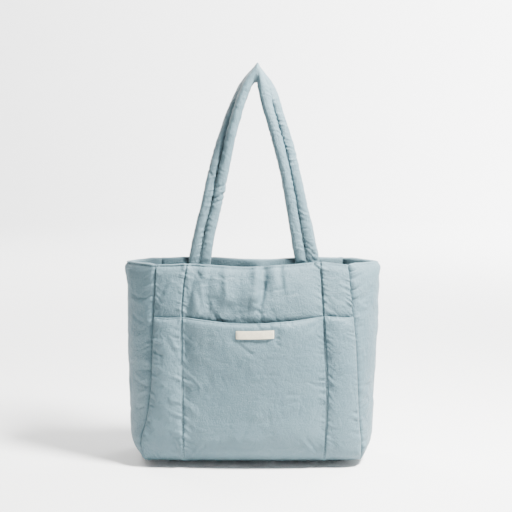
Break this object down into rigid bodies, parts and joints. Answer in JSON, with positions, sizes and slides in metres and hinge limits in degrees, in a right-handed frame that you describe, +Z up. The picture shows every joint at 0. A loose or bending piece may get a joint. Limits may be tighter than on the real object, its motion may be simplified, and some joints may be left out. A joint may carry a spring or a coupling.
{
  "type": "puffer tote bag",
  "caption": "Padded shoulder tote with a wide front pocket, outward folding side gussets and tall twin-channel handles.",
  "frame": {"origin": "on the floor under the middle of the base", "axes": "+Z up to the handles' peak, -Y out of the front face with the pocket, +X to the right seen from the front"},
  "size_m": [0.3798, 0.1519, 0.5905],
  "materials": {
    "nylon": "pale dusty blue crinkled nylon over soft wadding, semi-matte",
    "woven_label": "cream woven tape, matt"
  },
  "bodies": {
    "root": {"front_panel": "nylon", "back_panel": "nylon", "left_gusset": "nylon", "right_gusset": "nylon", "base_panel": "nylon", "pocket_panel": "nylon", "front_handle": "nylon", "back_handle": "nylon", "label": "woven_label"}
  },
  "joints": []
}
